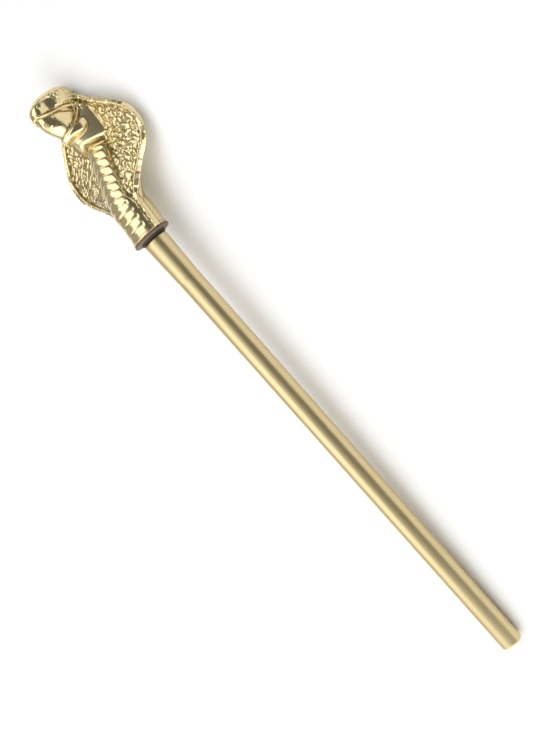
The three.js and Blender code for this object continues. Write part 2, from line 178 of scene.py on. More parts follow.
scute_edge = through((0, 49), (24, 50), (34, 56), (44, 66), (84, 68), (124, 68))

hood_half = through((24, 16.2), (30, 18.6), (36, 24.2), (42, 30.4), (48, 37.6), (54, 45.4), (60, 51.8),
                    (66, 55.6), (72, 57.4), (78, 57.4), (84, 56), (90, 53), (96, 48.2), (102, 42.2),
                    (109, 35), (117, 27), (126, 17), (133, 12))
edge_level = through((24, -4), (36, -7), (42, -9.6), (48, -13.6), (54, -18), (60, -20.6),
                     (66, -22), (84, -22.6), (108, -24), (117, -25.5), (126, -28), (133, -30))
edge_depth = through((24, 7), (42, 7.4), (54, 6.4), (66, 5), (78, 4.4), (133, 4.2))
hood_front = through((24, 3), (30, 5.5), (36, 6), (42, 3.7), (48, 0.3), (54, -3.5), (60, -7.1),
                     (66, -10.5), (72, -14.7), (78, -17.9), (84, -20.9), (90, -22.6), (100, -23.2),
                     (112, -24.6), (126, -28), (133, -30))
hood_back = through((24, -20.2), (36, -20.7), (48, -22.2), (60, -25.4), (72, -29), (84, -31.6),
                    (96, -32.8), (108, -33.2), (120, -33.2), (133, -32))
rim_across = through((3, 15.4), (26, 15.4), (31, 17), (36, 21.4), (42, 27.6), (48, 34.8),
                     (54, 42.8), (60, 49.4), (66, 53.2), (72, 55), (78, 55), (84, 53.5), (90, 50.4),
                     (96, 45.5), (102, 39.5), (109, 32.2), (117, 24.2), (128, 13))
rim_level = through((3, 3), (12, 1.6), (24, 0.2), (31, -1), (36, -3.6), (42, -7), (48, -11.4),
                    (54, -16), (60, -18.8), (66, -20.4), (84, -21.2), (108, -22.8), (117, -24.4),
                    (128, -27.6))

head_half = through((-33.5, 3), (-32.4, 8.4), (-29.6, 12.6), (-24, 15), (-14, 15.4), (-7, 13.6),
                    (0, 11), (5, 8.9), (9, 6.8), (11.6, 4.3), (12.8, 1.8))
crown = through((-33.5, 131), (-32.4, 138), (-30, 142.2), (-26, 145), (-20, 145.8), (-14, 145.4),
                (-4, 144), (2, 142.6), (7, 140), (10.4, 136.8), (12.2, 133.8), (12.8, 132.8))
upper_lip = through((-33.5, 122), (-28, 118.5), (-22, 119.3), (-18, 121.2), (-14, 122.2), (-8, 123.7),
                    (-2, 124.8), (4, 125.7), (8, 126.6), (10.7, 127.9), (12.2, 129.4), (12.8, 130))
jaw_half = through((-25, 13), (-19, 15.8), (-12, 14.4), (-7, 12), (-3, 9), (-0.5, 6), (1, 3.4),
                   (1.8, 1))
lower_lip = through((-25, 120), (-19, 117.6), (-14, 113.2), (-9.2, 109.8), (-5.6, 107.5),
                    (-1.8, 105.4), (0.3, 104.6), (1.8, 104.8))
jaw_underside = through((-25, 98), (-19, 96.4), (-14, 96.2), (-8, 98), (-4, 100), (0, 102),
                        (1.8, 103.8))
web_front = through((102, -1), (109, 3.8), (114.3, 8), (120.4, 11.4), (128, 11.4), (131, 10.6))
web_half = through((102, 7.5), (108, 9.8), (116, 11.6), (124, 11), (131, 9))
HOOD_WIDEST_AT = 75
print("widest hood", 2 * round(float(hood_half(HOOD_WIDEST_AT)), 1), "mm")

# %% [markdown]
# ## Clay: closed skins from stacks of rings
# Before a mould is cut, the head is built up in clay, lump on lump. Each lump here is a stack of
# rings with a skin over them and a cap at each end. Sculpting by hand would give the same result,
# but rings from profiles can be checked and changed. The lumps may overlap freely, because they
# are pressed into one later.

# %% Skins over rings
MIRROR = [-1, 1, 1]
OFF_PATH = [0.1, 0.2, 1.0]  # a direction that none of the paths runs along
POLE_GAP = 0.02


def skin(name, rings):
    """A closed mesh over an array of rings, each with the same number of points."""
    count, sides, _ = rings.shape
    points = np.concatenate([rings.reshape(-1, 3), [rings[0].mean(0)], [rings[-1].mean(0)]])
    faces = []
    for r in range(count - 1):
        for s in range(sides):
            a, b = r * sides + s, r * sides + (s + 1) % sides
            faces.append((a, b, b + sides, a + sides))
    last = (count - 1) * sides
    for s in range(sides):
        t = (s + 1) % sides
        faces.append((count * sides, t, s))
        faces.append((count * sides + 1, last + s, last + t))
    mesh = bpy.data.meshes.new(name)
    mesh.from_pydata(points.tolist(), [], faces)
    return add_object(name, mesh)


def soften(path, rounds):
    """Smooths a path's corners, with both its ends held."""
    for _ in range(rounds):
        path[1:-1] = (path[:-2] + 2 * path[1:-1] + path[2:]) / 4
    return path


def sweep(path, radius, sides=12):
    """Rings of a round bar along a path, with its radius given for each point of the path."""
    ahead = np.gradient(path, axis=0)
    ahead /= np.linalg.norm(ahead, axis=1, keepdims=True)
    aside = np.cross(ahead, OFF_PATH)
    aside /= np.linalg.norm(aside, axis=1, keepdims=True)
    over = np.cross(aside, ahead)
    turn = np.linspace(0, 2 * np.pi, sides, endpoint=False)
    radius = np.broadcast_to(radius, len(path))[:, None, None]
    around = (np.cos(turn)[None, :, None] * aside[:, None]
              + np.sin(turn)[None, :, None] * over[:, None])
    return path[:, None] + radius * around


def ball(place, halves, across=28, up=18):
    """Rings of an ellipsoid with half sizes about a place."""
    rise = np.linspace(POLE_GAP, np.pi - POLE_GAP, up)
    turn = np.linspace(0, 2 * np.pi, across, endpoint=False)
    unit = np.stack([np.sin(rise)[:, None] * np.cos(turn), np.sin(rise)[:, None] * np.sin(turn),
                     np.cos(rise)[:, None] + 0 * turn], -1)
    return np.array(place) + unit * np.array(halves)


lumps = []
print("a test ball has", len(ball((0, 0, 0), (1, 1, 1))), "rings")

# %% [markdown]
# ## Neck, belly and throat
# The belly of a snake carries a row of broad plates, the scutes. On this head there are six taller
# ones on the neck and six shorter ones above, each a soft cushion with a sharp groove before the
# next. A modifier could press the grooves in, but the ring at each height can be drawn in by the
# groove's depth, which keeps the groove true to the belly's curve. The upper rings droop at their
# sides, so the scutes make shallow arrowheads that point up the belly.

# %% Belly scutes
FIRST_SCUTE = 0.4
SCUTE_HEIGHTS = [7.95] * 6 + [7.2] * 6
SCUTE_GROOVE = 1.15
SCUTE_ROUNDING = 0.42
BELLY_RADIUS = 17
BELLY_SLOPE = 0.42
BARREL_SLOPE, BARREL_CREST = 1.1, 8
DROOP_CREST = 2
GROOVE_FADES_FROM, GROOVE_FADES_TO = 0.08, 0.03
BODY_TOP = 124
scute_edges = FIRST_SCUTE + np.concatenate([[0], np.cumsum(SCUTE_HEIGHTS)])


def scute_depth(height):
    """How deep the belly is cut at a height: most in a groove, nothing on a scute's middle."""
    i = np.clip(np.searchsorted(scute_edges, height, side="right") - 1, 0, len(SCUTE_HEIGHTS) - 1)
    share = np.clip((height - scute_edges[i]) / np.array(SCUTE_HEIGHTS)[i], 0, 1)
    inside = (height > scute_edges[0]) & (height < scute_edges[-1])
    return np.where(inside, SCUTE_GROOVE * (1 - (4 * share * (1 - share)) ** SCUTE_ROUNDING), 0)


def fade(low, high, value):
    """0 below low, 1 above high, and a smooth climb between."""
    t = np.clip((value - low) / (high - low), 0, 1)
    return t * t * (3 - 2 * t)


def body_rings():
    """The belly is a round arc between two side walls, and the throat a barrel with sloping sides."""
    ring = np.linspace(0, BODY_TOP, 620)[:, None]
    turn = np.linspace(-np.pi, np.pi, 180, endpoint=False)[None]
    facing, sideways = np.cos(turn), np.abs(np.sin(turn))
    wall = np.radians(body_wall(ring))
    reach = np.where(facing > 0, np.minimum(sideways / np.sin(wall), 1), sideways)
    across = body_half(ring) * reach
    height = ring - body_droop(ring) * (np.sqrt(across ** 2 + DROOP_CREST ** 2) - DROOP_CREST)
    ramp = body_ramp(ring)
    arc = BELLY_RADIUS - np.sqrt(np.maximum(BELLY_RADIUS ** 2 - across ** 2, 0))
    slopes = np.sqrt(across ** 2 + BARREL_CREST ** 2) - BARREL_CREST
    fall = (1 - ramp) * arc + ramp * BARREL_SLOPE * slopes
    belly = body_front(ring) + BELLY_SLOPE * (1 - ramp) * (ring - height) - fall
    middle_level = body_middle(height)
    down_wall = np.clip((np.abs(turn) - wall) / np.maximum(np.pi / 2 - wall, 1e-3), 0, 1)
    front = belly + (np.minimum(middle_level, belly) - belly) * down_wall
    behind = middle_level + (middle_level - body_back(height)) * facing
    edge = np.radians(scute_edge(ring))
    beside = fade(edge - GROOVE_FADES_FROM, edge + GROOVE_FADES_TO, np.abs(turn))
    cut = scute_depth(ring) * (1 - beside)
    x = (across - cut * reach) * np.sign(turn)
    z = np.where(facing > 0, front, behind) - cut * np.maximum(facing, 0) ** 0.5
    return np.stack([x, np.clip(height, 0, BODY_TOP), z], -1)


lumps.append(skin("neck and belly", body_rings()))
print("scutes", len(SCUTE_HEIGHTS), "from", scute_edges[0], "to", round(scute_edges[-1], 1), "mm")

# %% [markdown]
# The neck ends in a small rounded lip that sits on the plug's flange. A few round rings make it.

# %% Neck's foot
NECK_LIP = ((17.3, 0), (17.5, 0.3), (17.5, 0.9), (17.1, 1.5), (16.2, 2.2))

foot_turn = np.linspace(0, 2 * np.pi, 120, endpoint=False)
foot_rings = np.array([[(radius * math.sin(t), height, radius * math.cos(t)) for t in foot_turn]
                       for radius, height in NECK_LIP])
lumps.append(skin("neck lip", foot_rings))
print("neck's foot is", 2 * max(NECK_LIP)[0], "mm across")

# %% [markdown]
# ## The hood
# The hood is the skin that a cobra spreads with its ribs: thick behind the spine and thin at its
# edge, dished in front and softly rounded behind.

# %% Hood sheet
EDGE_ROUNDING = 1.6
EDGE_SHARE = 0.4
DISH, BACK_ROUNDING = 0.8, 0.85
HOOD_FOOT, HOOD_TOP = 24, 133


def hood_rings():
    """Rings round the hood: its dished front, a round edge, its back, and the other edge."""
    height = np.linspace(HOOD_FOOT, HOOD_TOP, 230)[:, None]
    u = np.sin(np.linspace(-np.pi / 2, np.pi / 2, 121))[None]
    half = hood_half(height) - EDGE_ROUNDING
    half_edge = edge_depth(height) * EDGE_SHARE
    fore = edge_level(height) + half_edge
    aft = edge_level(height) - half_edge
    near = fore + (hood_front(height) - fore) * (1 - np.abs(u)) ** DISH
    far = aft + (hood_back(height) - aft) * (1 - u * u) ** BACK_ROUNDING
    level = height + 0 * u
    front = np.stack([half * u, level, near], -1)
    behind = np.stack([half * u, level, far], -1)[:, ::-1]
    turn = np.linspace(0, np.pi, 8)[1:-1][None]
    edge_x = half + EDGE_ROUNDING * np.sin(turn)
    edge_z = edge_level(height) + half_edge * np.cos(turn)
    edge = np.stack([edge_x, height + 0 * turn, edge_z], -1)
    return np.concatenate([front, edge, behind, edge[:, ::-1] * MIRROR], 1)


lumps.append(skin("hood sheet", hood_rings()))
print("hood from", HOOD_FOOT, "to", HOOD_TOP, "mm up the staff")

# %% [markdown]
# ## One way to wire nodes
# Geometry Nodes and shaders are both wired node trees. One small class stands for a socket, so that
# maths on it reads as Python, and one method adds any other node from its type, its settings and
# its inputs.

# %% Wires and benches


class Wire:
    """An output socket whose values can be added, taken away, multiplied and divided."""

    def __init__(self, tree, socket):
        self.tree, self.socket = tree, socket

    def maths(self, operation, *terms):
        node = self.tree.nodes.new("ShaderNodeMath")
        node.operation = operation
        for inlet, term in zip(node.inputs, terms):
            plug_in(self.tree, inlet, term)
        return Wire(self.tree, node.outputs[0])

    def __add__(self, other):
        return self.maths("ADD", self, other)

    def __radd__(self, other):
        return self.maths("ADD", other, self)

    def __sub__(self, other):
        return self.maths("SUBTRACT", self, other)

    def __rsub__(self, other):
        return self.maths("SUBTRACT", other, self)

    def __mul__(self, other):
        return self.maths("MULTIPLY", self, other)

    def __rmul__(self, other):
        return self.maths("MULTIPLY", other, self)

    def __truediv__(self, other):
        return self.maths("DIVIDE", self, other)

    def __rtruediv__(self, other):
        return self.maths("DIVIDE", other, self)


def plug_in(tree, inlet, term):
    """Links a wire into an inlet, or sets the inlet to a plain value."""
    if isinstance(term, Wire):
        tree.links.new(term.socket, inlet)
    else:
        inlet.default_value = term


class Bench:
    """A node tree to which nodes are added."""

    def __init__(self, tree):
        self.tree = tree

    def node(self, kind, settings=None, inlets=None, outlet=0):
        """A node of this kind, with its settings made first, as a wire from one of its outlets."""
        node = self.tree.nodes.new(kind)
        for name, value in (settings or {}).items():
            setattr(node, name, value)
        for name, term in (inlets or {}).items():
            plug_in(self.tree, node.inputs[name], term)
        return Wire(self.tree, node.outputs[outlet])


def node_tool(name, inputs):
    """An empty Geometry Nodes tree with a geometry inlet and outlet, and the named inputs."""
    tree = bpy.data.node_groups.new(name, "GeometryNodeTree")
    tree.interface.new_socket("Geometry", in_out="INPUT", socket_type="NodeSocketGeometry")
    tree.interface.new_socket("Geometry", in_out="OUTPUT", socket_type="NodeSocketGeometry")
    for label, kind in inputs:
        tree.interface.new_socket(label, in_out="INPUT", socket_type="NodeSocket" + kind)
    bench = Bench(tree)
    entry = tree.nodes.new("NodeGroupInput")
    wires = {socket.name: Wire(tree, socket) for socket in entry.outputs if socket.name}
    return bench, wires


def close_tool(bench, geometry, finish):
    """Ends a tree: instances made real, its finish set, and the result sent out."""
    real = bench.node("GeometryNodeRealizeInstances", {}, {"Geometry": geometry})
    done = bench.node("GeometryNodeSetMaterial", {}, {"Geometry": real, "Material": finish})
    leave = bench.tree.nodes.new("NodeGroupOutput")
    bench.tree.links.new(done.socket, leave.inputs[0])


def run_tool(piece, tree, values):
    """Runs a tree on a piece with the values of its named inputs, and keeps the result as a mesh."""
    modifier = piece.modifiers.new(tree.name, "NODES")
    modifier.node_group = tree
    for item in tree.interface.items_tree:
        if item.in_out == "INPUT" and item.name in values:
            modifier[item.identifier] = values[item.name]
    keep_result(piece)


def keep_result(piece):
    """Replaces a piece's mesh with what its modifiers make of it, and removes the modifiers."""
    evaluated = piece.evaluated_get(bpy.context.evaluated_depsgraph_get())
    made = bpy.data.meshes.new_from_object(evaluated)
    piece.modifiers.clear()
    piece.data = made


print("wires and benches are ready")

# %% [markdown]
# ## The gold film
# A thin bright metal film under a clear lacquer covers the head. It is almost a mirror. In the
# hollows its colour is painted darker and browner as shade, and it is a touch rougher there. The
# hollows are marked on the mesh when the relief is cut, and the shader reads that mark.

# %% Bright gold


def finish(name):
    """A new material, its bench and its surface shader."""
    material = bpy.data.materials.new(name)
    material.use_nodes = True
    tree = material.node_tree
    return material, Bench(tree), tree.nodes["Principled BSDF"]


def mix_colours(bench, share, first, second):
    """One colour turning into another."""
    node = bench.tree.nodes.new("ShaderNodeMix")
    node.data_type = "RGBA"
    for inlet, term in ((node.inputs[0], share), (node.inputs[6], first), (node.inputs[7], second)):
        plug_in(bench.tree, inlet, term)
    return Wire(bench.tree, node.outputs[2])


GOLD_BRIGHT = (0.80, 0.68, 0.40, 1)
GOLD_DEEP = (0.70, 0.57, 0.30, 1)
GOLD_PAINTED_SHADE = (0.17, 0.12, 0.045, 1)

bright_gold, bench, surface = finish("bright_gold")
place = bench.node("ShaderNodeTexCoord", outlet="Object")
cloud = bench.node("ShaderNodeTexNoise", {}, {"Vector": place, "Scale": 90.0, "Detail": 3.0}, "Fac")
grain = bench.node("ShaderNodeTexNoise", {}, {"Vector": place, "Scale": 1400.0, "Detail": 2.0}, "Fac")
hollow_shade = bench.node("ShaderNodeAttribute", {"attribute_name": "hollow_shade"}, {}, "Fac")
film = mix_colours(bench, cloud, GOLD_BRIGHT, GOLD_DEEP)
# painted shade: the gold turns deep brown in the hollows, where shade falls
colour = mix_colours(bench, hollow_shade, film, GOLD_PAINTED_SHADE)
plug_in(bench.tree, surface.inputs["Base Color"], colour)
plug_in(bench.tree, surface.inputs["Roughness"], 0.12 + 0.1 * cloud + 0.3 * hollow_shade)
surface.inputs["Metallic"].default_value = 1.0
bump = bench.node("ShaderNodeBump", {}, {"Height": grain, "Strength": 0.05, "Distance": 0.0002}, "Normal")
plug_in(bench.tree, surface.inputs["Normal"], bump)
print("made", bright_gold.name)

# %% [markdown]
# ## The celled rim
# A raised cord of flat cells edges the hood and runs down the neck. They repeat along a path, so
# Geometry Nodes set them: the path is divided evenly, one rounded cell is put on each division and
# turned along the path, and its length wobbles a little so that no two are alike.

# %% Rim cells
RIM_CELLS = 31
RIM_FOOT, RIM_TOP = 3, 128
RIM_BAR = 0.9
CELL_BLOCK = 2.3


def rim_cell_tool():
    """A tree that sets rounded cells along a path."""
    bench, entry = node_tool("rim cells", [
        ("Cells", "Int"), ("Length", "Float"), ("Width", "Float"), ("Height", "Float"),
        ("Seed", "Int"), ("Finish", "Material")])
    curve = bench.node("GeometryNodeMeshToCurve", {}, {"Mesh": entry["Geometry"]})
    even = bench.node("GeometryNodeResampleCurve", {"mode": "COUNT"},
                      {"Curve": curve, "Count": entry["Cells"]})
    tangent = bench.node("GeometryNodeInputTangent")
    turn = bench.node("FunctionNodeAlignRotationToVector", {"axis": "Z"}, {"Vector": tangent})
    block = bench.node("GeometryNodeMeshCube", {}, {"Size": (CELL_BLOCK, CELL_BLOCK, CELL_BLOCK)})
    cell = bench.node("GeometryNodeSubdivisionSurface", {},
                      {"Mesh": block, "Level": 3, "Edge Crease": 0.62})
    wobble = bench.node("FunctionNodeRandomValue", {"data_type": "FLOAT"},
                        {"Min": 0.85, "Max": 1.12, "Seed": entry["Seed"]}, 1)
    size = bench.node("ShaderNodeCombineXYZ", {}, {
        "X": entry["Width"] * wobble, "Y": entry["Height"] * wobble, "Z": entry["Length"] * wobble})
    set_cells = bench.node("GeometryNodeInstanceOnPoints", {}, {
        "Points": even, "Instance": cell, "Rotation": turn, "Scale": size})
    close_tool(bench, set_cells, entry["Finish"])
    return bench.tree


rim_tool = rim_cell_tool()
rim_heights = np.linspace(RIM_FOOT, RIM_TOP, 240)
rim_path = np.stack([rim_across(rim_heights), rim_heights, rim_level(rim_heights)], 1)
for side, label in ((1, "left"), (-1, "right")):
    path = rim_path * [side, 1, 1]
    lumps.append(skin(f"{label} rim bar", sweep(path, RIM_BAR)))
    mesh = bpy.data.meshes.new(f"{label} rim cells")
    mesh.from_pydata(path.tolist(), [(i, i + 1) for i in range(len(path) - 1)], [])
    cells = add_object(mesh.name, mesh)
    run_tool(cells, rim_tool, {"Cells": RIM_CELLS, "Length": 2.5, "Width": 2.1, "Height": 2.1,
                               "Seed": 3 if side > 0 else 8, "Finish": bright_gold})
    lumps.append(cells)
    print(label, "rim:", RIM_CELLS, "cells")

# %% [markdown]
# ## The head
# The head is a blunt wedge with a flat crown. It is a loft across z, from the nape to the snout,
# with squarish slices. The jaws stand open at about fifty degrees, and a smooth web fills the mouth
# between them, as it does on a simple moulding.

# %% Head, jaw and web
NAPE, SNOUT_TIP = -33.5, 12.8
JAW_BACK, CHIN = -25, 1.8
HEAD_SQUARENESS, JAW_SQUARENESS = 0.78, 0.8
WEB_FOOT, WEB_TOP, WEB_MIDDLE, WEB_BACK = 102, 131, -13, 10


def slice_rings(z, half, top, bottom, flatness):
    """Squarish rings across z, from a half width, a top and a bottom at each place."""
    z = z[:, None]
    turn = np.linspace(0, 2 * np.pi, 96, endpoint=False)[None]
    side, rise = np.sin(turn), np.cos(turn)
    x = half(z) * np.sign(side) * np.abs(side) ** flatness
    y = ((top(z) + bottom(z)) / 2
         + (top(z) - bottom(z)) / 2 * np.sign(rise) * np.abs(rise) ** flatness)
    return np.stack([x, y, z + 0 * turn], -1)


def eased(start, end, count):
    """Places along a length, closer together towards both ends."""
    return start + (end - start) * (1 - np.cos(np.linspace(0, np.pi, count))) / 2


lumps.append(skin("upper head", slice_rings(eased(NAPE, SNOUT_TIP, 90), head_half, crown,
                                            upper_lip, HEAD_SQUARENESS)))
lumps.append(skin("lower jaw", slice_rings(eased(JAW_BACK, CHIN, 60), jaw_half, lower_lip,
                                           jaw_underside, JAW_SQUARENESS)))


def web_rings():
    """Rings round the web that fills the mouth."""
    height = np.linspace(WEB_FOOT, WEB_TOP, 56)[:, None]
    turn = np.linspace(0, 2 * np.pi, 96, endpoint=False)[None]
    facing = np.cos(turn)
    reach = np.where(facing > 0, (web_front(height) - WEB_MIDDLE) * facing, WEB_BACK * facing)
    return np.stack([web_half(height) * np.sin(turn), height + 0 * turn, WEB_MIDDLE + reach], -1)


lumps.append(skin("mouth web", web_rings()))
print("head from", NAPE, "to", SNOUT_TIP, "mm, nape to snout")

# %% [markdown]
# ## Lips, eyes and teeth
# Small forms catch the light most. The lips are thin bars along the jaws' edges, the eye is a ball
# in a ring of lid under a heavy brow, and a few blunt teeth stand along the lower lip.

# %% Lips, eyes and teeth
HINGE = -19
UPPER_LIP_RADIUS, LOWER_LIP_RADIUS = 1.1, 1.2
UPPER_LIP_TIP, LOWER_LIP_TIP = 12.2, 1.4
LIP_SUNK = 0.4


def lip_path(half, line, tip, radius):
    """A path from the jaw's hinge round its front to the other hinge."""
    share = np.linspace(0, 1, 60)
    z = HINGE + (tip - HINGE) * np.sin(share * np.pi / 2)
    side = np.stack([half(z) - radius * LIP_SUNK, line(z), z], 1)[:-1]
    front = np.array([[0, line(tip), tip]])
    return soften(np.concatenate([side, front, (side * MIRROR)[::-1]]), 8)


for label, half, line, tip, radius in (
        ("upper lip", head_half, upper_lip, UPPER_LIP_TIP, UPPER_LIP_RADIUS),
        ("lower lip", jaw_half, lower_lip, LOWER_LIP_TIP, LOWER_LIP_RADIUS)):
    lumps.append(skin(label, sweep(lip_path(half, line, tip, radius), radius)))


def smooth_path(*places, count=30, rounds=30):
    """Points along a path through a few places, with its corners smoothed."""
    share = np.linspace(0, len(places) - 1, count)
    path = np.stack([np.interp(share, range(len(places)), np.array(places)[:, k])
                     for k in range(3)], 1)
    return soften(path, rounds)


EYE, EYE_HALVES = np.array([12.6, 135.8, -12.0]), (3.3, 2.9, 3.2)
LID_OUT, LID_TALL, LID_LONG, LID_RADIUS = 2.1, 3.3, 3.7, 0.65
TEETH = ((-0.4, 0.95), (-3.2, 0.9), (-6.2, 0.85))
TOOTH_INSET, TOOTH_RISE, TOOTH_AHEAD, TOOTH_TALL = 2.0, 1.4, 0.3, 1.9

brow_path = smooth_path((12.6, 136.8, -3.8), (13.9, 138.9, -7.5), (14.5, 140, -12), (14.5, 139, -16),
                        (13.6, 136.4, -18.6))
brow_size = 1.45 * np.sin(np.linspace(0.3, np.pi - 0.4, 30)) ** 0.5
ridge_path = smooth_path((13.2, 137.4, -5), (11.2, 138, 0), (8.8, 138.2, 4.3), (6.4, 137.2, 7.4))
ridge_size = 0.95 * np.sin(np.linspace(0.5, np.pi - 0.3, 30)) ** 0.5
turn = np.linspace(0, 2 * np.pi, 49)
lid_path = EYE + np.stack([LID_OUT + 0 * turn, LID_TALL * np.sin(turn), LID_LONG * np.cos(turn)], 1)
for side in (1, -1):
    flip = np.array([side, 1, 1])
    lumps.append(skin("eye", ball(EYE * flip, EYE_HALVES)))
    lumps.append(skin("brow", sweep(brow_path * flip, brow_size)))
    lumps.append(skin("snout ridge", sweep(ridge_path * flip, ridge_size)))
    lumps.append(skin("eyelid", sweep(lid_path * flip, LID_RADIUS, 8)))
    for z, size in TEETH:
        place = (side * (float(jaw_half(z)) - TOOTH_INSET), float(lower_lip(z)) + TOOTH_RISE,
                 z + TOOTH_AHEAD)
        lumps.append(skin("tooth", ball(place, (size, TOOTH_TALL * size, size), 10, 8)))
print("lumps so far:", len(lumps))

# %% [markdown]
# ## Pressing the lumps into one
# The real head is one moulding, so its lumps have to be one skin. Boolean unions keep every hard
# crease. A voxel remesh melts the lumps together instead, as a mould softens clay, and gives an even
# mesh that fine relief can be cut into. It has to be fine enough for the narrowest groove.

# %% Voxel remesh
VOXEL = 0.62

everything = bpy.data.meshes.new("cobra_head_skin")
points, faces, start = [], [], 0
for lump in lumps:
    mesh = lump.data
    points.append(read_points(mesh))
    faces += [tuple(start + i for i in polygon.vertices) for polygon in mesh.polygons]
    start += len(mesh.vertices)
    bpy.data.objects.remove(lump)
everything.from_pydata(np.concatenate(points).tolist(), [], faces)
head = add_object("cobra_head_skin", everything)
remesh = head.modifiers.new("press together", "REMESH")
remesh.mode = "VOXEL"
remesh.voxel_size = VOXEL
remesh.use_smooth_shade = True
keep_result(head)
print("one skin:", len(head.data.vertices), "points")

# %% [markdown]
# ## Small hollows
# The nostrils and the hollow on each side of the snout are pressed in where they are, deepest in
# their middle. A narrow groove runs inside the rim and parts it from the scales.

# %% Nostrils, snout and rim groove
NOSTRIL = (8.2, 135.4, 6.9), 1.1, 1.3
SNOUT_SIDE = (10.6, 131.5, 1.5), 1.7, 5.5
RIM_GROOVE_INSET, RIM_GROOVE_DEPTH, RIM_GROOVE_WIDTH = 3.1, 0.8, 0.75


def read_normals(mesh):
    """The outward direction at each point of a mesh."""
    normal = np.empty(3 * len(mesh.vertices), np.float32)
    mesh.vertex_normals.foreach_get("vector", normal)
    return normal.reshape(-1, 3).astype(float)


co = read_points(head.data)
normal = read_normals(head.data)
for centre, depth, width in (NOSTRIL, SNOUT_SIDE):
    folded = np.stack([np.abs(co[:, 0]), co[:, 1], co[:, 2]], 1)
    away = np.linalg.norm(folded - centre, axis=1)
    co -= normal * (depth * np.exp(-(away / width) ** 2))[:, None]
inside_rim = np.abs(co[:, 0]) - rim_across(co[:, 1]) + RIM_GROOVE_INSET
in_groove = (np.exp(-(inside_rim / RIM_GROOVE_WIDTH) ** 2) * fade(0.2, 0.5, normal[:, 2])
             * fade(32, 38, co[:, 1]) * (1 - fade(112, 118, co[:, 1])))
co -= normal * (RIM_GROOVE_DEPTH * in_groove)[:, None]
head.data.vertices.foreach_set("co", co.astype(np.float32).ravel())
print("points in the rim groove:", int((in_groove > 0.5).sum()))

# %% [markdown]
# ## Where the scales are
# The hood's inner face is pebbled with scales inside its rim, a strip of them runs down each side of
# the neck beside the scutes, and the cheeks are pebbled behind the mouth. The throat and the snout
# are smooth. Each zone is written as a mask on the points, and the size and the slant of the
# scales as a flat map on which they are laid out.

# %% Masks for the relief
STRIP_SHARE, CHEEK_SHARE, MOUTH_SHARE, PLATE_SHARE = 0.55, 0.4, 0.16, 0.2

x, y, z = np.abs(co[:, 0]), co[:, 1], co[:, 2]
angle = np.degrees(np.arctan2(x, z - body_middle(y)))

on_hood = (fade(0.05, 0.3, normal[:, 2]) * fade(30, 36, y) * (1 - fade(108, 116, y))
           * fade(0.3, 1.6, x - body_half(y)) * (1 - fade(-3.2, -2.2, x - rim_across(y)))
           * fade(3.5, 4.5, body_front(y) - z + 12 * (y > 84)))
on_strip = fade(60, 64, angle) * (1 - fade(70, 73, angle)) * fade(3, 6, y) * (1 - fade(34, 38, y))
on_cheek = (fade(112, 117, y) * (1 - fade(138, 141, y)) * (1 - fade(-19.5, -17, z))
            * fade(-34.5, -30, z) * fade(6, 9, x))
in_mouth = (fade(111, 113, y) * (1 - fade(124, 127, y)) * fade(0, 3, z)
            * (1 - fade(0, 1.5, y - upper_lip(z) + 2.5)))
on_plates = (fade(126, 127.5, y) * (1 - fade(131, 134, y)) * fade(-13, -9, z)
             * (1 - fade(2, 6, z)) * fade(8, 10, x))
behind_hood = fade(0.1, 0.4, -normal[:, 2]) * fade(36, 50, y) * (1 - fade(122, 132, y))
scaly = np.clip(on_hood + STRIP_SHARE * on_strip + CHEEK_SHARE * on_cheek
                + MOUTH_SHARE * in_mouth + PLATE_SHARE * on_plates, 0, 1)
print("points with full scales:", int((scaly > 0.9).sum()))

# %% [markdown]
# The scales are laid out on a flat map that runs outwards and a little down the hood. Over the middle
# of each wing they are drawn out into long wavy ridges, and above and below they stay pebbles.

# %% The flat map of the scales
SLANT = math.radians(32)
FINER = 0.5
RIGHT_WING_SHIFT = 40


def keep_mark(mesh, name, values):
    """Stores one number, or one vector, on every point of a mesh."""
    single = values.ndim == 1
    mark = mesh.attributes.new(name, "FLOAT" if single else "FLOAT_VECTOR", "POINT")
    mark.data.foreach_set("value" if single else "vector", values.astype(np.float32).ravel())


across_wing = x * math.cos(SLANT) - y * math.sin(SLANT)
up_wing = x * math.sin(SLANT) + y * math.cos(SLANT)
left = co[:, 0] > 0
ridged = on_hood * np.where(left, fade(58, 64, y) * (1 - fade(78, 84, y)),
                            fade(54, 60, y) * (1 - fade(90, 95, y)))
fine = 1 + FINER * np.clip(on_cheek + on_strip + in_mouth, 0, 1)
shift = z * 0.3 + np.where(left, 0, RIGHT_WING_SHIFT)
scale_map = np.stack([across_wing * fine, up_wing * fine, shift], 1)
for name, values in (("scaly", scaly), ("ridged", ridged), ("behind_hood", behind_hood),
                     ("scale_map", scale_map)):
    keep_mark(head.data, name, values)
print("scaly share of the skin:", round(float(scaly.mean()), 2))

# %% [markdown]
# ## Cutting the scales
# Scales repeat over a surface by a rule: cells around scattered points, each a low pebble with a
# groove round it. Geometry Nodes have that rule as a texture, so one tree moves each point of the
# dense skin in or out along its normal. The texture is used twice, for pebbles and for ridges.

# %% Scale relief
RIPPLE_SCALE, RIPPLE_SIZE = 0.17, 6.0
PEBBLE_STRETCH, RIDGE_STRETCH = 1.2, 3.6
UNEVEN = 0.85
GROOVE_FLOOR, DOME_TOP = 0.03, 0.4
RELIEF = {"Scale Size": 5.4, "Ridge Pitch": 3.7, "Pebble": 1.5, "Groove": 0.7, "Faint": 0.2,
          "Finish": bright_gold}


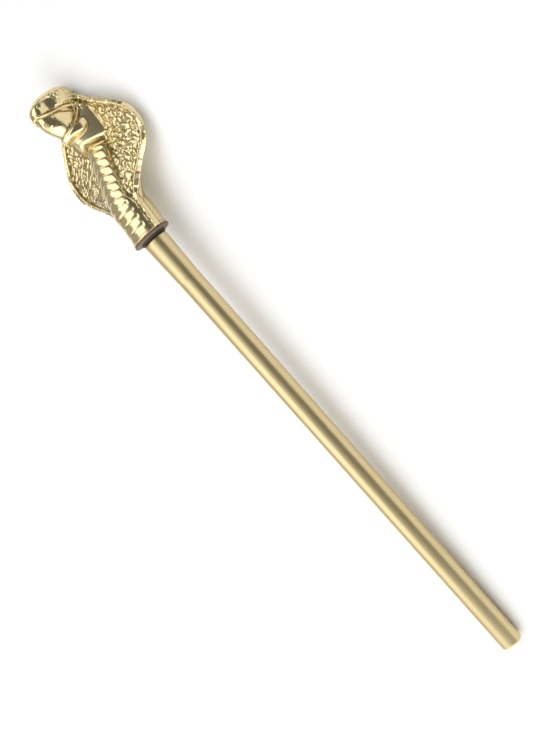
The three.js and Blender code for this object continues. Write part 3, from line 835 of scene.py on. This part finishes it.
def relief_tool():
    """A tree that moves each point along its normal, by the marks on the skin."""
    bench, entry = node_tool("scale relief", [
        ("Scale Size", "Float"), ("Ridge Pitch", "Float"), ("Pebble", "Float"), ("Groove", "Float"),
        ("Faint", "Float"), ("Finish", "Material")])

    def mark(name, kind="FLOAT"):
        return bench.node("GeometryNodeInputNamedAttribute", {"data_type": kind}, {"Name": name})

    def vector_maths(operation, first, second):
        node = bench.tree.nodes.new("ShaderNodeVectorMath")
        node.operation = operation
        plug_in(bench.tree, node.inputs[0], first)
        plug_in(bench.tree, node.inputs["Scale"] if operation == "SCALE" else node.inputs[1], second)
        return Wire(bench.tree, node.outputs[0])

    flat = mark("scale_map", "FLOAT_VECTOR")
    ripple = bench.node("ShaderNodeTexNoise", {},
                        {"Vector": flat, "Scale": RIPPLE_SCALE, "Detail": 1.0}, "Color")
    warped = vector_maths("ADD", flat, vector_maths("SCALE", ripple, RIPPLE_SIZE))

    def scales(size, draw_out):
        drawn = vector_maths("DIVIDE", warped, (draw_out, 1.0, 1.0))
        near = {"Vector": vector_maths("SCALE", drawn, 1.0 / size), "Scale": 1.0,
                "Randomness": UNEVEN}
        edge = bench.node("ShaderNodeTexVoronoi", {"feature": "DISTANCE_TO_EDGE"}, near, "Distance")
        shade = bench.node("ShaderNodeTexVoronoi", {"feature": "F1"}, near, "Color")
        tone = bench.node("ShaderNodeSeparateXYZ", {}, {"Vector": shade}, "X")
        rise = bench.node("ShaderNodeMapRange", {"interpolation_type": "LINEAR"},
                          {"Value": edge, "From Min": GROOVE_FLOOR, "From Max": DOME_TOP})
        dome = rise * (2.0 - rise)
        return entry["Pebble"] * dome * (0.6 + 0.4 * tone) - entry["Groove"], 1.0 - dome

    pebbles, pebble_groove = scales(entry["Scale Size"], PEBBLE_STRETCH)
    ridges, ridge_groove = scales(entry["Ridge Pitch"], RIDGE_STRETCH)
    ridged = mark("ridged")
    height = pebbles + ridged * (ridges - pebbles)
    groove = pebble_groove + ridged * (ridge_groove - pebble_groove)
    lift = mark("scaly") * height - mark("behind_hood") * entry["Faint"] * groove
    offset = vector_maths("SCALE", bench.node("GeometryNodeInputNormal"), lift)
    moved = bench.node("GeometryNodeSetPosition", {},
                       {"Geometry": entry["Geometry"], "Offset": offset})
    close_tool(bench, moved, entry["Finish"])
    return bench.tree


run_tool(head, relief_tool(), RELIEF)
print("relief cut on", len(head.data.vertices), "points")

# %% [markdown]
# ## Where the shade is painted
# The gold is painted darker in the hollows, as shade. Hollows are places where the skin lies below
# the average of the skin round it, so the mesh is smoothed on paper, and how far each point lies
# under the smoothed skin is stored for the gold to read.

# %% Mark the hollows
SMOOTHING_ROUNDS = 10
FULL_HOLLOW = 0.27

points = read_points(head.data)
facing_out = read_normals(head.data)
ends = np.empty(2 * len(head.data.edges), np.int32)
head.data.edges.foreach_get("vertices", ends)
one_end, other_end = ends.reshape(-1, 2).T
neighbours = np.bincount(np.concatenate([one_end, other_end]), minlength=len(points))[:, None]
smoothed = points.copy()
for _ in range(SMOOTHING_ROUNDS):
    total = np.stack([np.bincount(one_end, smoothed[other_end, k], len(points))
                      + np.bincount(other_end, smoothed[one_end, k], len(points))
                      for k in range(3)], 1)
    smoothed = (smoothed + total / neighbours) / 2
below = ((smoothed - points) * facing_out).sum(1)
# this depth is the mask for the painted shade in the gold
keep_mark(head.data, "hollow_shade", np.clip(below / FULL_HOLLOW, 0, 1))
print("hollow share:", round(float((below > FULL_HOLLOW / 2).mean()), 3))

# %% [markdown]
# ## Laying the head in its place
# The finished skin is turned and moved by its mesh, so that its object stays at the origin, as the
# CAD nodes' objects do. Nothing may stand outside the CAD box, so points that the relief pushed out
# by a hair are brought back to it, which also keeps the flat spot flat.

# %% Lay a piece down


def lay_down(piece, node):
    """Puts a piece modelled upright in millimetres where its CAD node lies."""
    low, high = (np.array(corner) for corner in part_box(node))
    mesh = piece.data
    mesh.transform(lying)
    kept = np.clip(read_points(mesh), low, high)
    mesh.vertices.foreach_set("co", kept.astype(np.float32).ravel())
    for polygon in mesh.polygons:
        polygon.use_smooth = True
    mesh.update()
    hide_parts(node)
    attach(piece, "root")
    print(piece.name, "stands for", node, "with", len(mesh.polygons), "faces")


head.data.materials.clear()
head.data.materials.append(bright_gold)
lay_down(head, "cobra_head")

# %% [markdown]
# ## The shaft
# The shaft's film is satin: the same metal on a finer grain that runs lengthwise, so it shows one
# soft highlight in place of a mirror's many. The grain is a noise stretched along the staff.

# %% Satin gold
SATIN_LIGHT = (0.72, 0.60, 0.34, 1)
SATIN_DEEP = (0.65, 0.52, 0.27, 1)

satin_gold, bench, surface = finish("satin_gold")
place = bench.node("ShaderNodeTexCoord", outlet="Object")
long_way = bench.node("ShaderNodeMapping", {}, {"Vector": place, "Scale": (1.0, 0.04, 1.0)})
streak = bench.node("ShaderNodeTexNoise", {}, {"Vector": long_way, "Scale": 700.0, "Detail": 2.0}, "Fac")
cloud = bench.node("ShaderNodeTexNoise", {}, {"Vector": place, "Scale": 25.0, "Detail": 2.0}, "Fac")
plug_in(bench.tree, surface.inputs["Base Color"],
        mix_colours(bench, 0.5 * streak + 0.5 * cloud, SATIN_LIGHT, SATIN_DEEP))
plug_in(bench.tree, surface.inputs["Roughness"], 0.3 + 0.08 * streak)
surface.inputs["Metallic"].default_value = 1.0
bump = bench.node("ShaderNodeBump", {},
                  {"Height": streak, "Strength": 0.06, "Distance": 0.0002}, "Normal")
plug_in(bench.tree, surface.inputs["Normal"], bump)
print("made", satin_gold.name)

# %% [markdown]
# The shaft is a thin tube. It flares at its top, with a faint step where the flare ends, and its far
# end is closed and rounded. A turned outline makes it, with many more sides than the CAD solid has,
# so that its long highlight is smooth. The plug is turned in the same way later.

# %% Turned pieces


def turned_piece(name, outline, material, sides=128):
    """A closed outline of (radius, height) points turned round the staff."""
    turn = np.linspace(0, 2 * np.pi, sides, endpoint=False)
    points, faces, rows = [], [], []
    for radius, height in outline:
        if radius == 0:
            rows.append([len(points)] * sides)
            points.append((0, height, 0))
        else:
            rows.append(list(range(len(points), len(points) + sides)))
            points += [(radius * math.sin(t), height, radius * math.cos(t)) for t in turn]
    for here, there in zip(rows, rows[1:] + rows[:1]):
        for s in range(sides):
            t = (s + 1) % sides
            face = [here[s], here[t], there[t], there[s]]
            face = [p for i, p in enumerate(face) if p not in face[:i]]
            if len(face) > 2:
                faces.append(face)
    mesh = bpy.data.meshes.new(name)
    mesh.from_pydata(points, [], faces)
    mesh.materials.append(material)
    return add_object(name, mesh)


SHAFT_RADIUS, MOUTH_RADIUS, FLARE_LENGTH, STEP = 9.97, 11.12, 41, 0.12
WALL, ROUNDING = 1.5, 2.2
end = SHAFT_TOP - SHAFT_LENGTH
flare_end = SHAFT_TOP - FLARE_LENGTH
spread = MOUTH_RADIUS - SHAFT_RADIUS - STEP
outline = [(MOUTH_RADIUS - 0.25, SHAFT_TOP), (MOUTH_RADIUS, SHAFT_TOP - 0.3)]
outline += [(SHAFT_RADIUS + STEP + spread * (1 - share), SHAFT_TOP - share * FLARE_LENGTH)
            for share in np.linspace(0.05, 0.98, 12)]
outline += [(SHAFT_RADIUS + STEP, flare_end), (SHAFT_RADIUS, flare_end - 0.8)]
outline += [(SHAFT_RADIUS, height) for height in np.linspace(flare_end - 3, end + ROUNDING + 1, 40)]
outline += [(SHAFT_RADIUS - ROUNDING * (1 - math.cos(t)), end + ROUNDING * (1 - math.sin(t)))
            for t in np.linspace(0, math.pi / 2, 9)]
bore = SHAFT_RADIUS - WALL
outline += [(3, end), (0, end), (0, end + WALL), (bore - 0.5, end + WALL),
            (bore, end + WALL + 0.5), (bore, SHAFT_TOP)]
shaft = turned_piece("shaft_tube_skin", outline, satin_gold)
lay_down(shaft, "shaft_tube")

# %% [markdown]
# ## The plug
# The plug is bare plastic. Its flange is dark brown and mottled. The boss under it is painted near
# black as shade, for the shadowed gap between the flange and the shaft. A mark on the points says
# where the painted shade begins.

# %% Plug
FLANGE_DARK, FLANGE_LIGHT = (0.085, 0.05, 0.028, 1), (0.24, 0.16, 0.10, 1)
BOSS_PAINTED_SHADE = (0.012, 0.009, 0.006, 1)
SPIGOT_GAP = 0.3
BOSS_REACH = 12.5

plug_plastic, bench, surface = finish("plug_plastic")
place = bench.node("ShaderNodeTexCoord", outlet="Object")
mottle = bench.node("ShaderNodeTexNoise", {}, {"Vector": place, "Scale": 350.0, "Detail": 4.0}, "Fac")
boss_painted_shade = bench.node("ShaderNodeAttribute", {"attribute_name": "boss"}, {}, "Fac")
# painted shade: the boss mark turns the plug near black in the gap under the flange
plug_in(bench.tree, surface.inputs["Base Color"],
        mix_colours(bench, boss_painted_shade,
                    mix_colours(bench, mottle, FLANGE_DARK, FLANGE_LIGHT), BOSS_PAINTED_SHADE))
plug_in(bench.tree, surface.inputs["Roughness"], 0.45 + 0.2 * mottle)
bump = bench.node("ShaderNodeBump", {},
                  {"Height": mottle, "Strength": 0.15, "Distance": 0.0003}, "Normal")
plug_in(bench.tree, surface.inputs["Normal"], bump)

spigot = bore - SPIGOT_GAP
plug_outline = [(0, -0.3), (17.0, -0.3), (17.45, -0.5), (17.57, -0.9), (17.57, -1.9),
                (17.45, -2.3), (17.0, -2.5), (12.3, -2.5), (12, -2.7), (12, -4.2), (11.7, -4.5),
                (spigot + 0.3, -4.5), (spigot, -4.8), (spigot, -23.5), (spigot - 1, -24.5),
                (0, -24.5)]
plug = turned_piece("base_plug_skin", plug_outline, plug_plastic)
plug_points = read_points(plug.data)
off_axis = np.hypot(plug_points[:, 0], plug_points[:, 2])
# marks the boss, whose colour is painted shade
keep_mark(plug.data, "boss", (1 - fade(-2.6, -2.4, plug_points[:, 1])) * (off_axis < BOSS_REACH))
lay_down(plug, "base_plug")

# %% [markdown]
# ## Floor and light
# A mirror-like film looks like what is round it, so the studio is most of the finish. The floor is a
# plain pale sheet, far wider than the picture.

# %% Floor
FLOOR_HALF = 4.0
FLOOR_PALE = (0.9, 0.9, 0.9, 1)

floor_mesh = bpy.data.meshes.new("floor")
floor_mesh.from_pydata([(-FLOOR_HALF, -FLOOR_HALF, 0), (FLOOR_HALF, -FLOOR_HALF, 0),
                        (FLOOR_HALF, FLOOR_HALF, 0), (-FLOOR_HALF, FLOOR_HALF, 0)], [], [(0, 1, 2, 3)])
floor_paint, bench, surface = finish("floor_paint")
surface.inputs["Base Color"].default_value = FLOOR_PALE
surface.inputs["Roughness"].default_value = 0.8
floor_mesh.materials.append(floor_paint)
floor = add_object("floor", floor_mesh)
print("floor is", 2 * FLOOR_HALF, "m wide")

# %% [markdown]
# There is no lamp. The world round the sceptre gives all the light, and its brightness depends only
# on the direction: a long soft window above, a fairly bright wall on the left, a dark one on the
# right, and a bright end past the shaft's foot. The window drifts sideways towards the head. Lamps
# would do as well, but a painted room can be set wall by wall against what the gold mirrors.

# %% Light
SOFTBOX, LEFT_WALL, RIGHT_WALL, BELOW, FOOT_LIGHT = 1.9, 0.62, 0.16, 0.7, 2.6
LEFT_WALL_FALL = 0.17
BOX_LEAN, BOX_DRIFT = -0.44, 0.6
BOX_CORE, BOX_EDGE, BOX_SPREAD = 0.34, 0.6, 0.5
BOX_FOOT, BOX_HEAD = (-0.5, -0.3), (0.88, 0.98)

world = bpy.data.worlds.new("studio")
world.use_nodes = True
bpy.context.scene.world = world
bench = Bench(world.node_tree)
direction = bench.node("ShaderNodeTexCoord", outlet="Generated")
across, along_staff, upward = (bench.node("ShaderNodeSeparateXYZ", {}, {"Vector": direction}, axis)
                               for axis in "XYZ")
lean = across.maths("ARCTAN2", across, upward)


def step_up(low, high, value):
    """0 below low, 1 above high, as a wire."""
    return bench.node("ShaderNodeMapRange", {"interpolation_type": "SMOOTHSTEP"},
                      {"Value": value, "From Min": low, "From Max": high})


headwards = step_up(-0.02, 0.16, along_staff)
far_headwards = step_up(0.45, 0.8, along_staff)
from_middle = lean - (BOX_LEAN + BOX_DRIFT * headwards)
in_box = (step_up(-BOX_EDGE - BOX_SPREAD * far_headwards,
                  -BOX_CORE - BOX_SPREAD * far_headwards, from_middle)
          * (1 - step_up(BOX_CORE, BOX_EDGE, from_middle))
          * step_up(*BOX_FOOT, along_staff) * (1 - step_up(*BOX_HEAD, along_staff)))
left_wall = LEFT_WALL - LEFT_WALL_FALL * headwards
walls = left_wall + (RIGHT_WALL - left_wall) * step_up(-0.2, 1.0, lean)
lit = walls + (FOOT_LIGHT - walls) * (1 - step_up(-0.75, -0.45, along_staff))
room = lit + (SOFTBOX - lit) * in_box
glow = room + (BELOW - room) * (1 - step_up(-0.06, 0.0, upward))
background = world.node_tree.nodes["Background"]
plug_in(bench.tree, background.inputs["Strength"], glow)
background.inputs["Color"].default_value = (1, 1, 1, 1)
bpy.context.scene.view_settings.view_transform = "Standard"
print("the room's lights run from", RIGHT_WALL, "to", FOOT_LIGHT)
